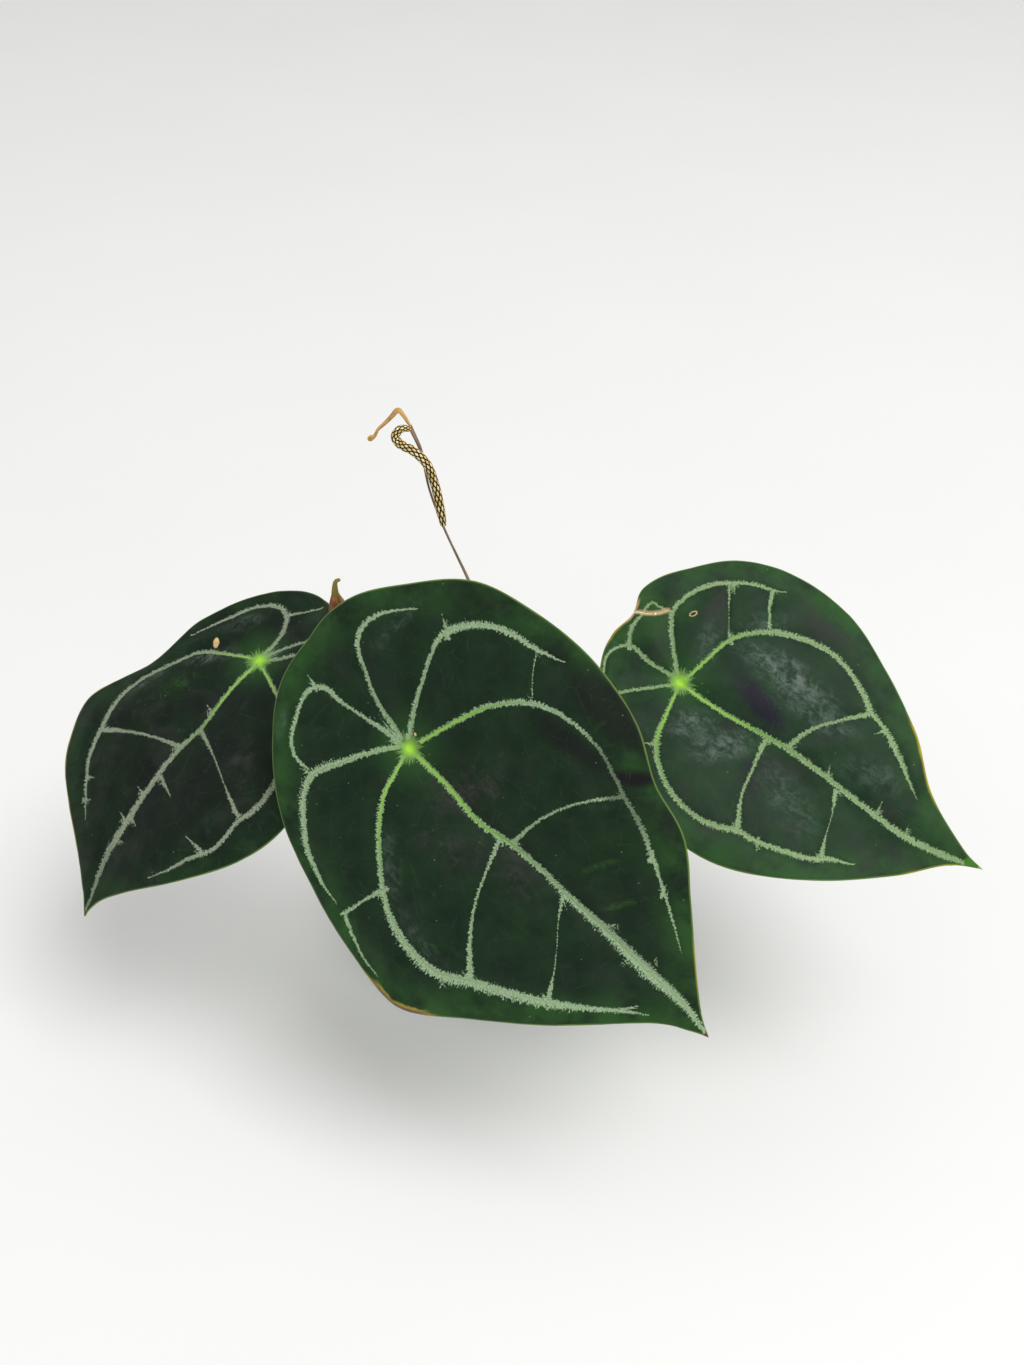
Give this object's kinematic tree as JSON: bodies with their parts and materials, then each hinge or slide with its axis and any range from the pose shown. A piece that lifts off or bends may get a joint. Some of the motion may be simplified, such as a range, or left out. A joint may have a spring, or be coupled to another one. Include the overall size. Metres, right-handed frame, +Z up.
{
  "type": "potted anthurium forgetii",
  "caption": "Aroid house plant with dark velvety shield-shaped leaves, pale veins, a spent flower spike and a closed young one, standing in a plain nursery pot.",
  "frame": {"origin": "middle of the pot's underside", "axes": "+Z up along the pot's axis; -Y towards the side that the largest leaf faces; +X along the widest spread of the leaves"},
  "size_m": [0.4766, 0.2398, 0.3486],
  "materials": {
    "pot_plastic": "matte moulded charcoal plastic",
    "bark_mix": "coarse bark chips and fine soil",
    "stem_skin": "ringed green and brown stem skin",
    "petiole": "smooth green stalk, redder at its base",
    "leaf_blade": "dark green velvet with silver and lime veins",
    "dry_sheath": "dry fibrous brown sheath",
    "dry_stalk": "dry brown stalk",
    "spadix": "gold tepals in a dark brown diamond net",
    "dry_spathe": "dried tan ribbon",
    "young_bract": "browning bract with an olive tip"
  },
  "bodies": {
    "root": {"pot": "pot_plastic", "soil": "bark_mix", "stem": "stem_skin", "petiole_front": "petiole", "petiole_right": "petiole", "petiole_left": "petiole", "blade_front": "leaf_blade", "blade_right": "leaf_blade", "blade_left": "leaf_blade", "cataphyll_1": "dry_sheath", "cataphyll_2": "dry_sheath", "cataphyll_3": "dry_sheath", "peduncle_old": "dry_stalk", "spadix_old": "spadix", "spathe_old": "dry_spathe", "peduncle_young": "petiole", "spathe_young": "young_bract"}
  },
  "joints": []
}
